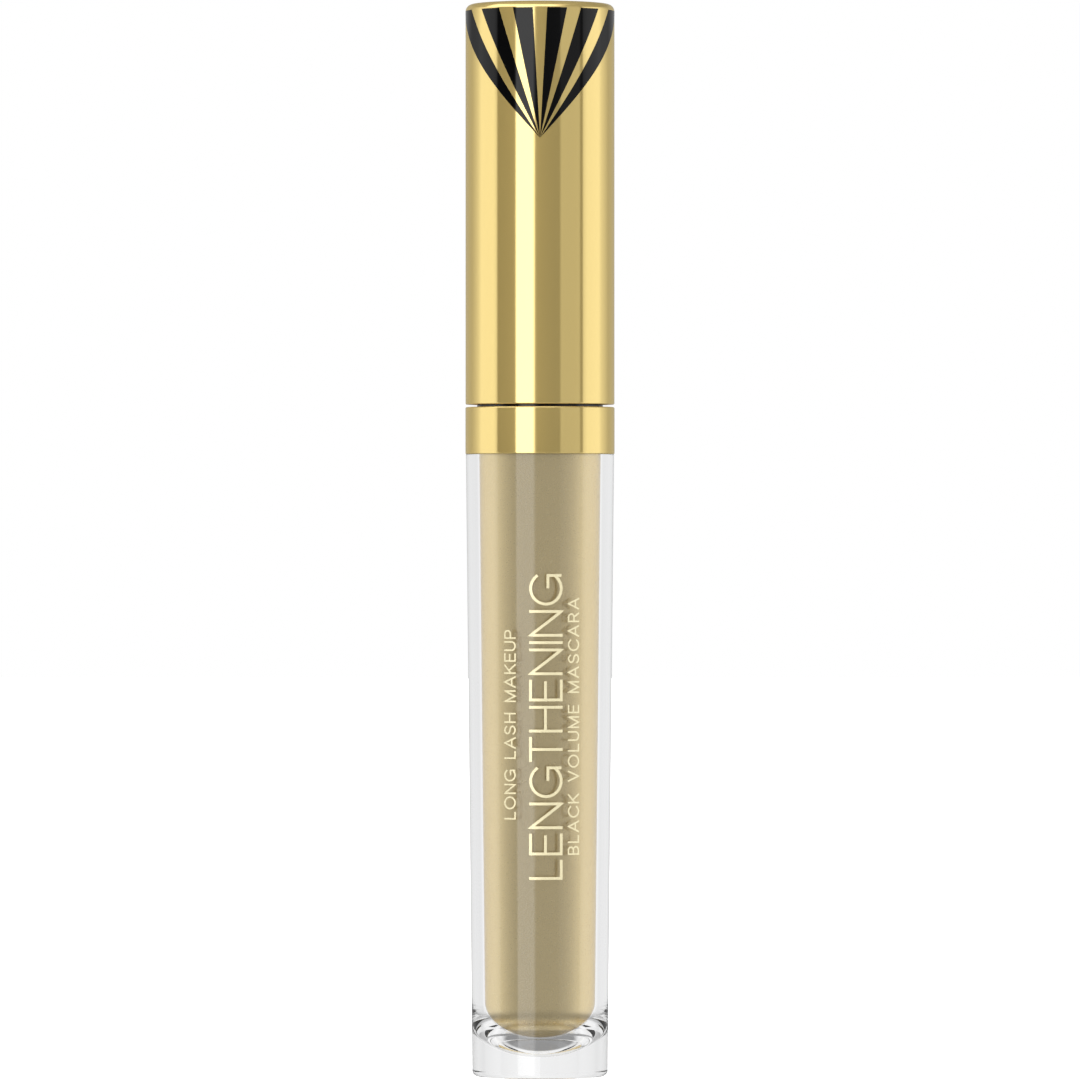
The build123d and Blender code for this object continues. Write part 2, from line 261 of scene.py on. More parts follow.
def capped_skin(sections):
    """Closed skin over a run of closed cross-sections, sections[i, j] being point j of section i.

    Squares join neighbouring sections, and each end is closed by one flat face.
    """
    rows, columns = sections.shape[:2]
    faces = grid_quads(rows, columns, wrap_columns=True).tolist()
    faces.append(list(range(columns))[::-1])
    faces.append([(rows - 1) * columns + j for j in range(columns)])
    return sections.reshape(-1, 3), faces


def screw_ridge(radius, depth, bottom, pitch, turns, root=1.3 * MM, crest=0.6 * MM, sunk=0.2 * MM):
    """Thread: a trapezoid carried up a helix, with its height run out smoothly over each end.

    At turn t the trapezoid's point (u, w) lies at radius + u, at height bottom + pitch t + w
    and at angle t whole turns; u grows with a ramp from 0 to 1 over an eighth of a turn.
    """
    t = np.linspace(0, turns, int(96 * turns) + 1)
    ramp = np.clip(np.minimum(t, turns - t) * 8, 0, 1)
    ramp = np.maximum(ramp * ramp * (3 - 2 * ramp), 0.02)
    u = np.array([-sunk, 0, depth, depth, 0, -sunk])
    w = np.array([-root, -root, -crest, crest, root, root]) / 2
    reach = radius + np.where(u > 0, u[None] * ramp[:, None], u[None])
    a = (t * FULL_TURN)[:, None]
    height = bottom + pitch * t[:, None] + w[None]
    return capped_skin(np.stack([reach * np.cos(a), reach * np.sin(a), height], -1))


def joined(*parts):
    """Several (points, faces) as one."""
    points, faces, offset = [], [], 0
    for part_points, part_faces in parts:
        points.append(np.asarray(part_points))
        faces += [[corner + offset for corner in face] for face in part_faces]
        offset += len(part_points)
    return np.concatenate(points), faces


def new_piece(name, part, material, body, stands_for=(), crease=30):
    """Object from (points, faces), smooth but for edges sharper than crease degrees."""
    points, faces = part
    mesh = bpy.data.meshes.new(name)
    mesh.from_pydata(points.tolist(), [], faces)
    mesh.update()
    mesh.polygons.foreach_set("use_smooth", np.ones(len(mesh.polygons), bool))
    mesh.set_sharp_from_angle(angle=math.radians(crease))
    mesh.materials.append(material)
    piece = bpy.data.objects.new(name, mesh)
    bpy.context.scene.collection.objects.link(piece)
    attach(piece, body)
    if stands_for:
        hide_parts(*stands_for)
    return piece


def welded_copy(node, name, material, body, crease=30):
    """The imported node's own surface with its loose triangles joined, so that it shades smoothly."""
    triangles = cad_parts[node].data
    corners = np.empty(len(triangles.vertices) * 3, np.float32)
    triangles.vertices.foreach_get("co", corners)
    points, place = np.unique(
        np.round(corners.reshape(-1, 3).astype(float), 7), axis=0, return_inverse=True,
    )
    index = np.empty(len(triangles.loops), np.int32)
    triangles.loops.foreach_get("vertex_index", index)
    faces = place.reshape(-1)[index].reshape(-1, 3)
    whole = (faces[:, 0] != faces[:, 1]) & (faces[:, 1] != faces[:, 2]) & (faces[:, 0] != faces[:, 2])
    return new_piece(name, (points, faces[whole].tolist()), material, body, (node,), crease)


# ---- Finishes ------------------------------------------------------------------------

FINISHES = {}


def finish(name):
    """New material with an empty Principled surface: returns (material, nodes, shader, links)."""
    material = bpy.data.materials.new(name + "_finish")
    material.use_nodes = True
    tree = material.node_tree
    return material, tree.nodes, tree.nodes["Principled BSDF"], tree.links


def set_inputs(shader, **values):
    for name, value in values.items():
        shader.inputs[name.replace("_", " ")].default_value = value


def noise(nodes, links, scale, detail=2.0, stretch=(1, 1, 1)):
    """Noise on Object coordinates; scale is in cells per metre along an unstretched axis."""
    place = nodes.new("ShaderNodeTexCoord")
    mapping = nodes.new("ShaderNodeMapping")
    mapping.inputs["Scale"].default_value = stretch
    texture = nodes.new("ShaderNodeTexNoise")
    texture.inputs["Scale"].default_value = scale
    texture.inputs["Detail"].default_value = detail
    links.new(place.outputs["Object"], mapping.inputs["Vector"])
    links.new(mapping.outputs["Vector"], texture.inputs["Vector"])
    return texture.outputs["Fac"]


def spread(nodes, links, source, low, high, start=0.3, end=0.7):
    """source, which runs from start to end, stretched to run from low to high."""
    stretch = nodes.new("ShaderNodeMapRange")
    for name, value in zip(("From Min", "From Max", "To Min", "To Max"), (start, end, low, high)):
        stretch.inputs[name].default_value = value
    links.new(source, stretch.inputs["Value"])
    return stretch.outputs["Result"]


def blend_colours(nodes, links, factor, first, second):
    mix = nodes.new("ShaderNodeMix")
    mix.data_type = "RGBA"
    mix.inputs["A"].default_value = (*first, 1)
    mix.inputs["B"].default_value = (*second, 1)
    links.new(factor, mix.inputs["Factor"])
    return mix.outputs["Result"]


def roughen(nodes, links, shader, source, low, high):
    links.new(spread(nodes, links, source, low, high), shader.inputs["Roughness"])


def bump(nodes, links, shader, source, depth):
    """Relief of the given depth in metres."""
    relief = nodes.new("ShaderNodeBump")
    relief.inputs["Strength"].default_value = 1.0
    relief.inputs["Distance"].default_value = depth
    links.new(source, relief.inputs["Height"])
    links.new(relief.outputs["Normal"], shader.inputs["Normal"])


def shaded(rgb, factor):
    return tuple(min(1.0, channel * factor) for channel in rgb)


def mirror_gold_finish(colours):
    """Mirror-bright metallised plastic: a sharp reflection over a softer, deeper one."""
    material, nodes, mirror, links = finish("mirror_gold")
    mottle = noise(nodes, links, 90, 3)
    tint = blend_colours(nodes, links, mottle, shaded(colours.mirror_gold, 0.985), colours.mirror_gold)
    links.new(tint, mirror.inputs["Base Color"])
    set_inputs(mirror, Metallic=1.0)
    roughen(nodes, links, mirror, noise(nodes, links, 1400, 2, (1, 1, 0.05)), 0.02, 0.05)
    haze = nodes.new("ShaderNodeBsdfPrincipled")
    links.new(
        blend_colours(nodes, links, mottle, shaded(colours.gold_haze, 0.97), colours.gold_haze),
        haze.inputs["Base Color"],
    )
    set_inputs(haze, Metallic=1.0, Roughness=0.62)
    layers = nodes.new("ShaderNodeMixShader")
    layers.inputs["Fac"].default_value = 0.6
    links.new(haze.outputs["BSDF"], layers.inputs[1])
    links.new(mirror.outputs["BSDF"], layers.inputs[2])
    links.new(layers.outputs["Shader"], nodes["Material Output"].inputs["Surface"])
    return material


def lacquer_finish(colours):
    material, nodes, shader, links = finish("black_lacquer")
    fleck = noise(nodes, links, 2600, 2)
    tint = blend_colours(nodes, links, fleck, colours.lacquer, shaded(colours.lacquer, 1.6))
    links.new(tint, shader.inputs["Base Color"])
    set_inputs(shader, IOR=1.36)
    roughen(nodes, links, shader, fleck, 0.02, 0.05)
    return material


def clear_finish(colours):
    """Water-clear moulded plastic, with the faintest flow marks in its surface."""
    material, nodes, shader, links = finish("clear_plastic")
    flow = noise(nodes, links, 160, 2, (1, 1, 0.2))
    links.new(
        blend_colours(nodes, links, flow, (0.985, 0.988, 0.992), (0.995, 0.996, 0.998)),
        shader.inputs["Base Color"],
    )
    set_inputs(shader, Transmission_Weight=1.0, IOR=1.5)
    roughen(nodes, links, shader, flow, 0.0, 0.012)
    return material


def satin_gold_finish(colours):
    """Pale pearl gold: fine metal flake in a satin lacquer."""
    material, nodes, shader, links = finish("satin_gold")
    flake = noise(nodes, links, 9000, 2)
    cloud = noise(nodes, links, 60, 3)
    dull, bright = shaded(colours.satin_gold, 0.94), shaded(colours.satin_gold, 1.05)
    fine = blend_colours(nodes, links, flake, dull, bright)
    soft = nodes.new("ShaderNodeMix")
    soft.data_type = "RGBA"
    soft.blend_type = "MULTIPLY"
    soft.inputs["Factor"].default_value = 0.5
    links.new(fine, soft.inputs["A"])
    links.new(spread(nodes, links, cloud, 0.96, 1.0), soft.inputs["B"])
    links.new(soft.outputs["Result"], shader.inputs["Base Color"])
    set_inputs(shader, Metallic=1.0, Specular_Tint=(0.72, 0.66, 0.52, 1))
    roughen(nodes, links, shader, flake, 0.26, 0.36)
    bump(nodes, links, shader, flake, 0.0004 * MM)
    return material


def foil_finish(colours):
    material, nodes, shader, links = finish("gold_foil")
    grain = noise(nodes, links, 5000, 3)
    links.new(
        blend_colours(nodes, links, grain, shaded(colours.foil, 0.93), colours.foil),
        shader.inputs["Base Color"],
    )
    set_inputs(shader, Metallic=0.3)
    roughen(nodes, links, shader, grain, 0.34, 0.46)
    return material


def moulded_finish(name, rgb, rough, grain_scale=2200, depth=0.002, **extra):
    """Moulded plastic or rubber: fine grain in its relief and gloss, slight cloud in its colour."""
    material, nodes, shader, links = finish(name)
    grain = noise(nodes, links, grain_scale, 3)
    cloud = noise(nodes, links, 220, 2)
    links.new(
        blend_colours(nodes, links, cloud, shaded(rgb, 0.93), shaded(rgb, 1.03)), shader.inputs["Base Color"],
    )
    roughen(nodes, links, shader, grain, rough * 0.85, min(1.0, rough * 1.15))
    bump(nodes, links, shader, grain, depth * MM)
    set_inputs(shader, **extra)
    return material


def colours_of(context):
    return context.scene.tube_colours


def sizes_of(context):
    return context.scene.tube_sizes


def made_once(name, maker, context):
    """The finished material of that name, made on first use."""
    if name not in FINISHES:
        FINISHES[name] = maker(colours_of(context))
    return FINISHES[name]


def moulded_once(name, rgb, rough, **extra):
    if name not in FINISHES:
        FINISHES[name] = moulded_finish(name, rgb, rough, **extra)
    return FINISHES[name]


# ---- Pieces --------------------------------------------------------------------------

class MASCARA_OT_cap(Operator):
    """Cap shell: a thin mirror-gold cup with a rounded top edge and a fine bevel on its rim"""

    bl_idname = "mascara.cap"
    bl_label = "Cap"

    def execute(self, context):
        sizes = sizes_of(context)
        outer, rim, top = CAP_HIGH.x - sizes.film_room, CAP_LOW.z, CAP_HIGH.z
        inner, ceiling = CAP_HIGH.x - sizes.cap_wall, CAP_HIGH.z - sizes.cap_top
        outline = [
            (0, ceiling),
            (inner, ceiling, 0.4 * MM),
            (inner, rim, sizes.rim_round / 2),
            (outer, rim, sizes.rim_round),
            (outer, top, sizes.cap_round),
            (0, top),
        ]
        gold = made_once("mirror_gold", mirror_gold_finish, context)
        part = turned(outline, sizes.segments, steps=16, longest=2 * MM)
        new_piece("cap_shell_skin", part, gold, "cap", ("cap_shell",), crease=50)
        white = moulded_once("natural_plastic", colours_of(context).natural, 0.42)
        welded_copy("cap_liner", "cap_liner_skin", white, "cap")
        return {"FINISHED"}


class MASCARA_OT_sunburst(Operator):
    """Sunburst printed on the cap: black rays that spread from a point up to the cap's top edge

    On the unrolled wall each ray is the triangle between two angles from the apex; its point
    (s, t) is at height t of the way from apex to edge and at arc length height * tan(angle).
    """

    bl_idname = "mascara.sunburst"
    bl_label = "Sunburst"

    def execute(self, context):
        sizes, burst = sizes_of(context), context.scene.tube_sunburst
        inner = CAP_HIGH.x - sizes.film_room - 0.004 * MM
        outer = CAP_HIGH.x - 0.002 * MM
        apex = CAP_HIGH.z - burst.apex_below_top
        edge = CAP_HIGH.z - burst.edge_below_top
        black = 2 * burst.half_angle * burst.ray_share / burst.rays
        gap = 2 * burst.half_angle * (1 - burst.ray_share) / (burst.rays - 1)
        parts = []
        for ray in range(burst.rays):
            first = -burst.half_angle + ray * (black + gap)
            rise = np.linspace(0.004, 1, 90)[:, None] * (edge - apex)
            left, right = rise * math.tan(first), rise * math.tan(first + black)
            across = left + (right - left) * np.linspace(0, 1, 13)
            around = np.concatenate([across, across[:, ::-1]], 1) / outer
            reach = np.repeat([outer, inner], 13)[None]
            height = np.broadcast_to(apex + rise, around.shape)
            sections = np.stack([reach * np.sin(around), -reach * np.cos(around), height], -1)
            parts.append(capped_skin(sections))
        black_gloss = made_once("black_lacquer", lacquer_finish, context)
        new_piece("sunburst_print", joined(*parts), black_gloss, "cap")
        return {"FINISHED"}


class MASCARA_OT_collar(Operator):
    """Collar: a mirror-gold ring between shell and cap, on a sleeve with a lip coloured black as painted
    shade for the dark gap under the cap
    """

    bl_idname = "mascara.collar"
    bl_label = "Collar"

    def execute(self, context):
        sizes = sizes_of(context)
        outer, foot, lip_top = COLLAR_HIGH.x, COLLAR_LOW.z, COLLAR_HIGH.z
        top = lip_top - 0.9 * MM
        wall, sleeve, lip = outer - sizes.cap_wall, sizes.neck_radius + 0.12 * MM, 7.35 * MM
        under = top - 0.8 * MM
        ring = [
            (wall, foot),
            (outer, foot, sizes.rim_round),
            (outer, top, sizes.rim_round),
            (lip, top),
            (lip, under),
            (wall, under),
        ]
        inside = [
            (sleeve, foot + 1.0 * MM),
            (sleeve + 0.88 * MM, foot + 1.0 * MM),
            (sleeve + 0.88 * MM, under),
            (lip - 0.01 * MM, under),
            (lip - 0.01 * MM, lip_top, 0.2 * MM),
            (sleeve, lip_top),
        ]
        gold = made_once("mirror_gold", mirror_gold_finish, context)
        new_piece(
            "collar_ring", turned(ring, sizes.segments), gold, "bottle", ("collar",),
            crease=50,
        )
        # Painted shade: the sleeve and lip take the wand's black plastic so that the thin gap under the cap
        # reads dark
        black = moulded_once("black_plastic", colours_of(context).black, 0.18, grain_scale=1500, depth=0.0006)
        new_piece("collar_lip_painted_shade", turned(inside, sizes.segments), black, "bottle")
        return {"FINISHED"}


def cavity_radius(sizes, height):
    """Inside of the clear shell: its outside, which widens evenly from foot to rim, less the wall."""
    foot = SHELL_HIGH.x - sizes.shell_draft
    return foot + sizes.shell_draft * height / SHELL_HIGH.z - sizes.shell_wall


class MASCARA_OT_clear_shell(Operator):
    """Clear outer shell: a tapered tumbler with a thick base and a shallow hollow under it"""

    bl_idname = "mascara.clear_shell"
    bl_label = "Clear Shell"

    def execute(self, context):
        sizes = sizes_of(context)
        rim, foot = SHELL_HIGH.x, SHELL_HIGH.x - sizes.shell_draft
        top, floor = SHELL_HIGH.z, sizes.shell_floor
        ring = foot - sizes.foot_ring
        outline = [
            (0, sizes.foot_recess),
            (ring - sizes.foot_recess, sizes.foot_recess),
            (ring, 0),
            (foot, 0, sizes.foot_round),
            (rim, top),
            (cavity_radius(sizes, top), top),
            (cavity_radius(sizes, floor), floor, sizes.floor_round),
            (0, floor),
        ]
        clear = made_once("clear_plastic", clear_finish, context)
        part = turned(outline, sizes.segments, steps=24, longest=3 * MM)
        new_piece("clear_shell_skin", part, clear, "bottle", ("clear_shell",))
        return {"FINISHED"}


class MASCARA_OT_vial(Operator):
    """Inner vial: a round-bottomed satin-gold vial with a flange, a neck and its screw thread"""

    bl_idname = "mascara.vial"
    bl_label = "Inner Vial"

    def execute(self, context):
        sizes = sizes_of(context)
        foot, rim = VIAL_LOW.z, VIAL_HIGH.z
        shoulder, flange_top = SHELL_HIGH.z, SHELL_HIGH.z + 1.0 * MM

        def outside(height):
            return cavity_radius(sizes, height) - sizes.vial_gap

        corner = sizes.floor_round - sizes.vial_gap
        floor = foot + sizes.vial_wall
        neck, bore = sizes.neck_radius, sizes.neck_bore
        outline = [
            (0, foot),
            (outside(foot), foot, corner),
            (outside(shoulder), shoulder),
            (VIAL_HIGH.x, shoulder),
            (VIAL_HIGH.x, flange_top),
            (neck + 0.1 * MM, flange_top),
            (neck + 0.1 * MM, flange_top + 4.5 * MM),
            (neck, flange_top + 4.6 * MM),
            (neck, rim, 0.12 * MM),
            (bore, rim),
            (bore, shoulder + 3.0 * MM),
            (outside(shoulder) - sizes.vial_wall, shoulder),
            (outside(floor) - sizes.vial_wall, floor, corner - sizes.vial_wall),
            (0, floor),
        ]
        rise = sizes.thread_pitch * sizes.thread_turns
        ridge = screw_ridge(
            neck, 0.7 * MM, rim - 1.85 * MM - rise, sizes.thread_pitch, sizes.thread_turns,
        )
        satin = made_once("satin_gold", satin_gold_finish, context)
        part = joined(turned(outline, sizes.segments, steps=20, longest=3 * MM), ridge)
        new_piece("inner_vial_skin", part, satin, "bottle", ("inner_vial",))
        return {"FINISHED"}


class MASCARA_OT_inside(Operator):
    """What the vial holds: the wiper in its neck, the washer on the wiper and the mascara"""

    bl_idname = "mascara.inside"
    bl_label = "Wiper, Washer and Mascara"

    def execute(self, context):
        sizes, colours = sizes_of(context), colours_of(context)
        top, foot = WIPER_HIGH.z, WIPER_LOW.z
        plug, hole = sizes.neck_bore - 0.02 * MM, sizes.wand_hole
        plug_foot = foot + 2.5 * MM
        wiper_outline = [
            (hole, foot, 0.15 * MM),
            (hole + 0.45 * MM, foot, 0.15 * MM),
            (plug, plug_foot, 0.3 * MM),
            (plug, top - 0.8 * MM),
            (WIPER_HIGH.x, top - 0.8 * MM, 0.1 * MM),
            (WIPER_HIGH.x, top, 0.15 * MM),
            (plug - 0.15 * MM, top, 0.2 * MM),
            (plug - 0.6 * MM, top - 0.45 * MM, 0.2 * MM),
            (plug - 0.6 * MM, plug_foot + 0.45 * MM, 0.2 * MM),
            (hole, foot + 0.45 * MM, 0.1 * MM),
        ]
        soft = moulded_once("wiper_plastic", (0.78, 0.78, 0.74), 0.35, Subsurface_Weight=0.15)
        wiper = turned(wiper_outline, sizes.segments, steps=6)
        new_piece("wiper_skin", wiper, soft, "bottle", ("wiper",))
        washer_outline = [
            (hole, WASHER_LOW.z, 0.08 * MM),
            (WASHER_HIGH.x, WASHER_LOW.z, 0.12 * MM),
            (WASHER_HIGH.x, WASHER_HIGH.z, 0.12 * MM),
            (hole, WASHER_HIGH.z, 0.08 * MM),
        ]
        foam = moulded_once("seal_foam", (0.86, 0.86, 0.84), 0.8, grain_scale=5200, depth=0.012)
        washer = turned(washer_outline, sizes.segments, steps=5)
        new_piece("seal_washer_skin", washer, foam, "seal", ("seal_washer",))
        wet = moulded_once("mascara_black", colours.paste, 0.16, grain_scale=700, depth=0.06)
        welded_copy("mascara_paste", "mascara_paste_skin", wet, "bottle")
        return {"FINISHED"}


class MASCARA_OT_wand(Operator):
    """Wand: the rod with its flange and head, and the core of the brush in its end"""

    bl_idname = "mascara.wand"
    bl_label = "Wand"

    def execute(self, context):
        sizes, colours = sizes_of(context), colours_of(context)
        end, head_top, rod = STEM_LOW.z, STEM_HIGH.z, sizes.stem_radius
        flange_foot = WASHER_HIGH.z
        flange_top = flange_foot + sizes.flange
        shank = 1.2 * MM
        rod_outline = [
            (0, end + 10.9 * MM),
            (shank, end + 10.9 * MM),
            (shank, end),
            (rod, end, 0.4 * MM),
            (rod, flange_foot),
            (STEM_HIGH.x, flange_foot, 0.1 * MM),
            (STEM_HIGH.x, flange_top),
            (sizes.head_radius, flange_top),
            (sizes.head_radius, head_top, 0.4 * MM),
            (0, head_top),
        ]
        gloss = moulded_once("black_plastic", colours.black, 0.18, grain_scale=1500, depth=0.0006)
        rod_part = turned(rod_outline, sizes.segments, steps=8, longest=4 * MM)
        new_piece("stem_skin", rod_part, gloss, "wand", ("stem",))
        tip = CORE_LOW.z
        core_outline = [
            (0, tip),
            (sizes.core_tip, tip, 0.8 * MM),
            (sizes.core_radius, end),
            (shank - 0.02 * MM, end),
            (shank - 0.02 * MM, CORE_HIGH.z),
            (0, CORE_HIGH.z),
        ]
        rubber = moulded_once("brush_elastomer", colours.black, 0.4, grain_scale=4000, depth=0.003)
        core = turned(core_outline, 64, steps=10, longest=2 * MM)
        new_piece("brush_core_skin", core, rubber, "wand", ("brush_core",))
        return {"FINISHED"}


class MASCARA_OT_bristles(Operator):
    """Bristles: a sleeve over the core with rows of fine tapered spikes

    Spike (row, step) stands on the sleeve at angle row / rows of a turn and at height step / steps
    of the sleeve, every second row half a step higher.  Its ring k has radius root to end and
    stands k of the way from the sleeve to the reach, which narrows evenly towards the tip.
    """

    bl_idname = "mascara.bristles"
    bl_label = "Bristles"

    def execute(self, context):
        sizes, brush = sizes_of(context), context.scene.tube_brush
        low, high, reach = BRISTLES_LOW.z, BRISTLES_HIGH.z, BRISTLES_HIGH.x
        tip, end = CORE_LOW.z, STEM_LOW.z

        def sleeve(height):
            share_up = (height - tip) / (end - tip)
            return sizes.core_tip + (sizes.core_radius - sizes.core_tip) * share_up + 0.25 * MM

        sleeve_outline = [
            (sleeve(low) - 0.23 * MM, low),
            (sleeve(low), low, 0.12 * MM),
            (sleeve(high), high, 0.12 * MM),
            (sleeve(high) - 0.23 * MM, high),
        ]
        parts = [turned(sleeve_outline, 64, steps=4, longest=1.5 * MM)]
        random = np.random.default_rng(brush.seed)
        row, step = np.meshgrid(np.arange(brush.rows), np.arange(brush.steps), indexing="ij")
        share_up = ((step + 0.5 + 0.5 * (row % 2)) / (brush.steps + 0.5)).ravel()
        height = low + (high - low) * (0.015 + 0.97 * share_up)
        turn = (row / brush.rows * FULL_TURN).ravel() + random.uniform(-0.02, 0.02, height.size)
        root = sleeve(height) - 0.1 * MM
        top = brush.tip_reach + (reach - brush.tip_reach) * share_up
        top = np.minimum(top * random.uniform(0.97, 1.0, height.size), reach)
        lean = random.uniform(-0.05, 0.05, height.size) * MM
        climb = np.array([0, 0.2, 0.55, 0.88, 1.0])
        girth = np.interp(climb, [0, 0.2, 1], [brush.root_radius, brush.root_radius * 0.7, brush.end_radius])
        girth[-1] *= 0.5
        sides = 7
        ring = np.arange(sides) / sides * FULL_TURN
        across = girth[:, None] * np.cos(ring)
        along = girth[:, None] * np.sin(ring)
        out = root[:, None] + (top - root)[:, None] * climb
        radial = np.stack([np.cos(turn), np.sin(turn)], -1)
        sideways = np.stack([-np.sin(turn), np.cos(turn)], -1)
        flat = out[:, :, None, None] * radial[:, None, None]
        flat = flat + across[None, :, :, None] * sideways[:, None, None]
        upright = height[:, None, None] + along[None] + (lean[:, None] * climb**2)[:, :, None]
        points = np.concatenate([flat, upright[..., None]], -1)
        base = grid_quads(climb.size, sides, wrap_columns=True)
        offsets = np.arange(height.size) * climb.size * sides
        quads = (offsets[:, None, None] + base[None]).reshape(-1, 4)
        first = offsets[:, None] + np.arange(sides)[::-1]
        last = offsets[:, None] + (climb.size - 1) * sides + np.arange(sides)
        parts.append((points.reshape(-1, 3), quads.tolist() + first.tolist() + last.tolist()))
        black = colours_of(context).black
        rubber = moulded_once("brush_elastomer", black, 0.4, grain_scale=4000, depth=0.003)
        new_piece(
            "brush_bristles_skin", joined(*parts), rubber, "wand", ("brush_bristles",),
        )
        return {"FINISHED"}


# ---- Print ---------------------------------------------------------------------------

def arc(x, y, across, up, start, end, steps=10):
    """Points of an ellipse about (x, y) from angle start to end, in degrees anticlockwise."""
    a = np.radians(np.linspace(start, end, steps + 1))
    return np.stack([x + across * np.cos(a), y + up * np.sin(a)], 1)


def line(*points):
    return np.array(points, float)


# Each letter is (width, strokes) in units of the letter's height, before the whole is widened.
LETTERS = {
    " ": (0.30, []),
    "A": (0.68, [line((0, 0), (0.34, 1), (0.68, 0)), line((0.11, 0.32), (0.57, 0.32))]),
    "B": (0.50, [
        line((0, 0), (0, 1), (0.26, 1)), line((0.26, 0), (0, 0)), line((0, 0.52), (0.28, 0.52)),
        arc(0.26, 0.76, 0.21, 0.24, 90, -90), arc(0.28, 0.26, 0.22, 0.26, 90, -90),
    ]),
    "C": (0.66, [arc(0.38, 0.5, 0.38, 0.5, 38, 322, 20)]),
    "E": (0.46, [line((0.46, 1), (0, 1), (0, 0), (0.46, 0)), line((0, 0.52), (0.42, 0.52))]),
    "G": (0.70, [arc(0.38, 0.5, 0.38, 0.5, 38, 320, 20), line((0.42, 0.44), (0.70, 0.44), (0.70, 0.04))]),
    "H": (0.58, [line((0, 0), (0, 1)), line((0.58, 0), (0.58, 1)), line((0, 0.52), (0.58, 0.52))]),
    "I": (0.0, [line((0, 0), (0, 1))]),
    "K": (0.56, [line((0, 0), (0, 1)), line((0.53, 1), (0, 0.40)), line((0.17, 0.6), (0.56, 0))]),
    "L": (0.42, [line((0, 1), (0, 0), (0.42, 0))]),
    "M": (0.70, [line((0, 0), (0, 1), (0.35, 0), (0.70, 1), (0.70, 0))]),
    "N": (0.58, [line((0, 0), (0, 1), (0.58, 0), (0.58, 1))]),
    "O": (0.78, [arc(0.39, 0.5, 0.39, 0.5, 0, 360, 28)]),
    "P": (0.50, [
        line((0, 0), (0, 1), (0.28, 1)), line((0, 0.45), (0.28, 0.45)),
        arc(0.28, 0.725, 0.22, 0.275, 90, -90),
    ]),
    "R": (0.55, [
        line((0, 0), (0, 1), (0.28, 1)), line((0, 0.47), (0.28, 0.47)),
        arc(0.28, 0.735, 0.22, 0.265, 90, -90), line((0.30, 0.47), (0.55, 0)),
    ]),
    "S": (0.54, [
        np.concatenate([arc(0.27, 0.745, 0.235, 0.255, 20, 268), arc(0.27, 0.245, 0.26, 0.245, 88, -162)]),
    ]),
    "T": (0.54, [line((0, 1), (0.54, 1)), line((0.27, 1), (0.27, 0))]),
    "U": (0.56, [np.concatenate([line((0, 1)), arc(0.28, 0.30, 0.28, 0.30, 180, 360), line((0.56, 1))])]),
    "V": (0.64, [line((0, 1), (0.32, 0), (0.64, 1))]),
    "Y": (0.62, [line((0, 1), (0.31, 0.44), (0.62, 1)), line((0.31, 0.44), (0.31, 0))]),
}


def words_as_strokes(words, height, widened, run):
    """Strokes of the words in metres, spaced evenly so that the words are run long.

    Letters stand side by side with one gap between them, (run - their widths) / (letters - 1).
    """
    size = (height * widened, height)
    widths = [LETTERS[letter][0] * size[0] for letter in words]
    gap = (run - sum(widths)) / (len(words) - 1)
    strokes, at = [], 0.0
    for letter, width in zip(words, widths):
        strokes += [stroke * size + (at, 0) for stroke in LETTERS[letter][1]]
        at += width + gap
    return strokes


def flat_ribbon(stroke, width):
    """Left and right edges of a stroke of that width, mitred at its corners.

    At a point where the stroke turns by t the edges lie width / 2 / cos(t / 2) out, along the
    bisector; each end runs on by half the width.
    """
    closed = np.allclose(stroke[0], stroke[-1])
    steps = np.diff(stroke, axis=0)
    steps /= np.linalg.norm(steps, axis=1)[:, None]
    before = np.concatenate([steps[-1:] if closed else steps[:1], steps])
    after = np.concatenate([steps, steps[:1] if closed else steps[-1:]])
    normals = np.stack([-(before + after)[:, 1], (before + after)[:, 0]], 1)
    normals /= np.linalg.norm(normals, axis=1)[:, None]
    half_turn = np.clip((normals * np.stack([-after[:, 1], after[:, 0]], 1)).sum(1), 0.45, 1)
    reach = normals * (width / 2 / half_turn)[:, None]
    path = stroke.copy()
    if not closed:
        path[0] -= steps[0] * width / 2
        path[-1] += steps[-1] * width / 2
    return path + reach, path - reach


def dense(stroke, longest):
    """The open stroke with its straight runs cut into even steps."""
    pieces = [stroke[:1]]
    for start, end in zip(stroke[:-1], stroke[1:]):
        count = max(1, math.ceil(np.linalg.norm(end - start) / longest))
        pieces.append(start + (end - start) * np.linspace(0, 1, count + 1)[1:, None])
    return np.concatenate(pieces)


class MASCARA_OT_print(Operator):
    """Foil print on the shell: three lines of plain words that read from bottom to top

    A flat point (along, across) goes to height start + along and to the angle across / radius
    round the shell, at the shell's own radius for that height.
    """

    bl_idname = "mascara.print"
    bl_label = "Foil Print"

    def execute(self, context):
        sizes, words = sizes_of(context), context.scene.tube_print
        # words, letter height, stroke, lowest point, run, middle of the letters across the front
        lines = (
            (words.left_words, words.small_height, words.small_stroke, 30.2, 21.8, -3.6),
            (words.large_words, words.large_height, words.large_stroke, 23.3, 35.1, 0.7),
            (words.right_words, words.small_height, words.small_stroke, 26.1, 29.6, 4.05),
        )
        foot = SHELL_HIGH.x - sizes.shell_draft
        parts, lift = [], 0.0
        for text, height, width, start, run, middle in lines:
            for stroke in words_as_strokes(text, height, words.widened, run * MM):
                left, right = flat_ribbon(dense(stroke, 0.5 * MM), width)
                edges = np.stack([left, right, right, left], 1)
                level = start * MM + edges[..., 0]
                skin = foot + sizes.shell_draft * level / SHELL_HIGH.z
                foil = np.array([words.foil_thickness] * 2 + [-0.5 * words.foil_thickness] * 2)
                reach = skin + foil + lift
                around = (middle * MM + height / 2 - edges[..., 1]) / skin
                sections = np.stack([reach * np.sin(around), -reach * np.cos(around), level], -1)
                parts.append(capped_skin(sections))
                lift = 0.0 if lift > 0.002 * MM else lift + 0.0005 * MM
        foil_gold = made_once("gold_foil", foil_finish, context)
        new_piece("foil_print", joined(*parts), foil_gold, "bottle")
        return {"FINISHED"}


